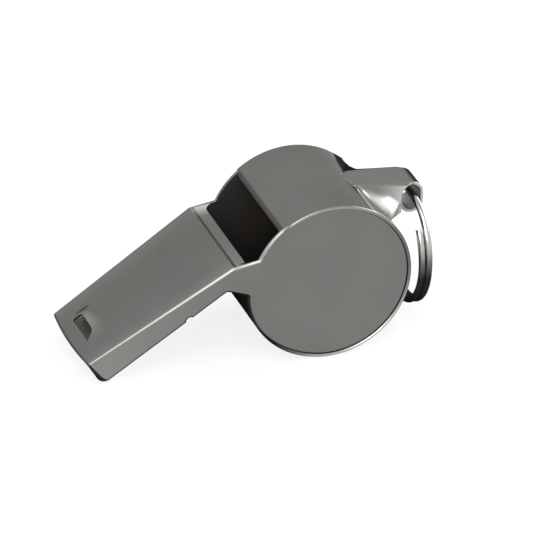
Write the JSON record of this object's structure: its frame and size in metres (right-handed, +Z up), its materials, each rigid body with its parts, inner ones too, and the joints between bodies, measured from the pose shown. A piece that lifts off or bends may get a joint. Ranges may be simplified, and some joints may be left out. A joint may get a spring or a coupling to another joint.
{
  "type": "pea whistle",
  "caption": "Polished metal pea whistle: round barrel with a sounding window, tapering mouthpiece, loose cork pea, and a split ring swinging in a lug on the back.",
  "frame": {"origin": "middle of the whole whistle's box, on the table that it rests on", "axes": "+X from the mouthpiece's tip to the ring at the back, +Y across the barrel along its axis, +Z up"},
  "size_m": [0.0532, 0.02, 0.0244],
  "materials": {
    "polished_sheet": "polished plated sheet, soft reflections",
    "polished_lug": "polished plated sheet, pressed and rolled",
    "ring_wire": "bright drawn spring wire",
    "cork": "ground natural cork, matt"
  },
  "bodies": {
    "whistle": {"side_plate_left": "polished_sheet", "side_plate_right": "polished_sheet", "mouthpiece_top": "polished_sheet", "barrel_strip": "polished_sheet", "ring_lug": "polished_lug"},
    "ring": {"split_ring": "ring_wire"},
    "pea": {"pea": "cork"}
  },
  "joints": [
    {"name": "ring_swing", "type": "hinge", "parent": "whistle", "child": "ring", "pos_m": [0.02483, 0, 0.02038], "axis": [0, -1, 0], "range_deg": [-8, 236]},
    {"name": "pea_roll", "type": "hinge", "parent": "whistle", "child": "pea", "pos_m": [0.00997, 0, 0.0122], "axis": [0, 1, 0], "continuous": true}
  ]
}
